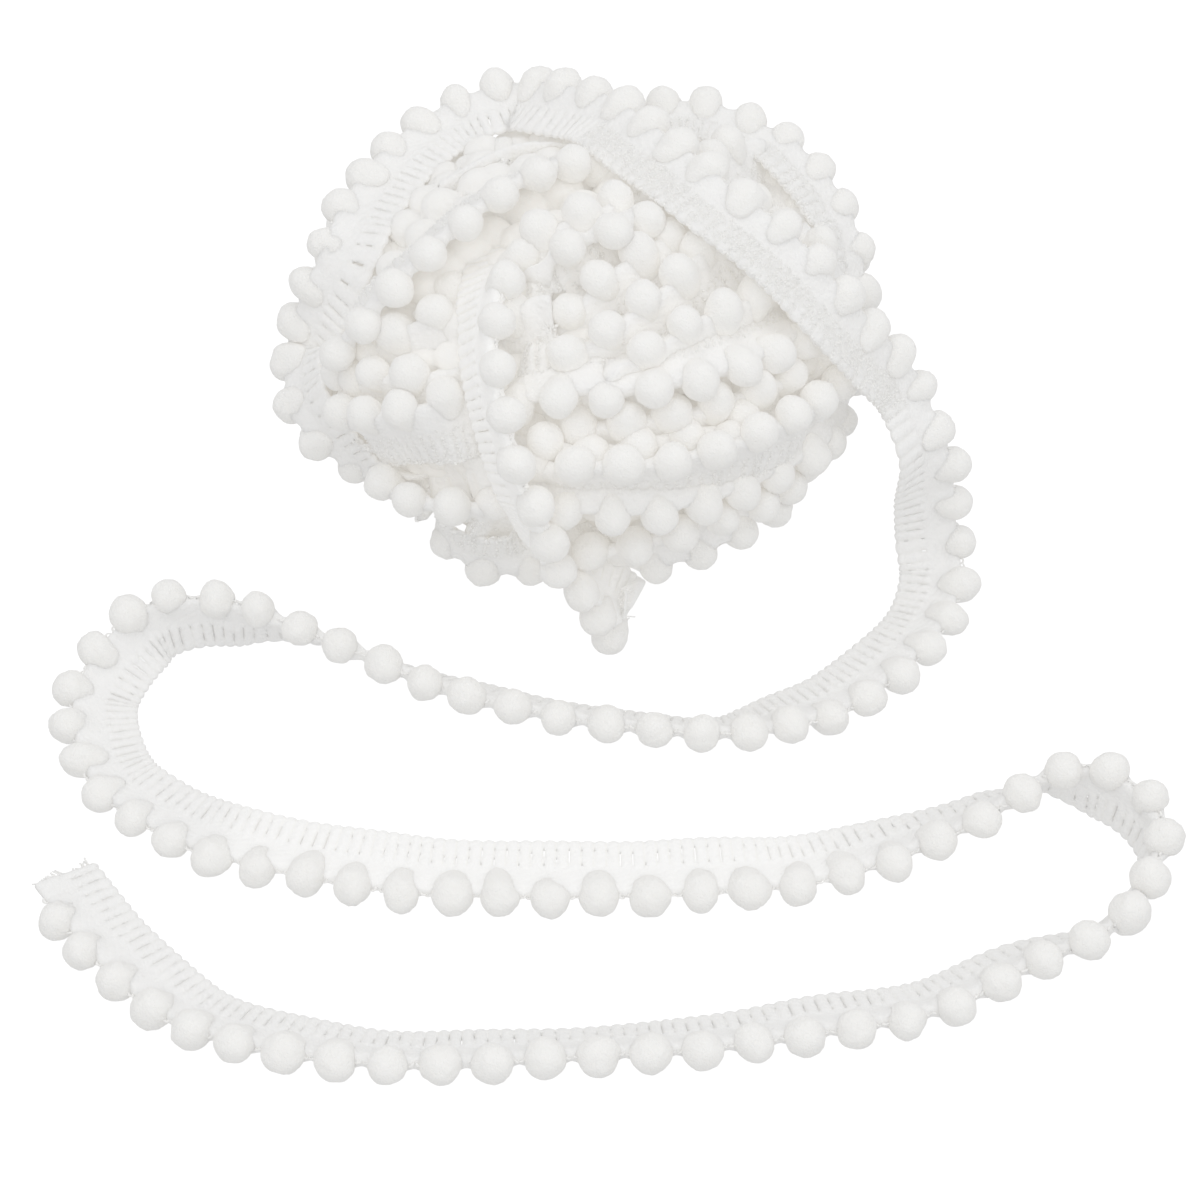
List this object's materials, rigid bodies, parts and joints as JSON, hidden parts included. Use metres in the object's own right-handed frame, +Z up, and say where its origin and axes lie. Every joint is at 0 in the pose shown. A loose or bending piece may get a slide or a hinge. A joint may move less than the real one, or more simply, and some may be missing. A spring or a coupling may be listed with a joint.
{
  "type": "pompom fringe trim",
  "caption": "Narrow ladder tape with a row of small round pompoms along one edge, loosely wound into a ball with a long winding loose end and a short one",
  "frame": {"origin": "middle of the small flat spot that the ball rests on, on the surface it lies on", "axes": "+Z up; -Y towards the loose ends, which lie in front of the ball; +X to the side where the long end leaves the ball"},
  "size_m": [0.1723, 0.1758, 0.0689],
  "materials": {
    "ball_yarn": "matte cut pile and knitted tape",
    "tape_cotton": "matte knitted tape",
    "pompom_pile": "matte velvety cut pile"
  },
  "bodies": {
    "root": {"wound_ball": "ball_yarn", "long_end_tape": "tape_cotton", "long_end_pompoms": "pompom_pile", "short_end_tape": "tape_cotton", "short_end_pompoms": "pompom_pile"}
  },
  "joints": []
}
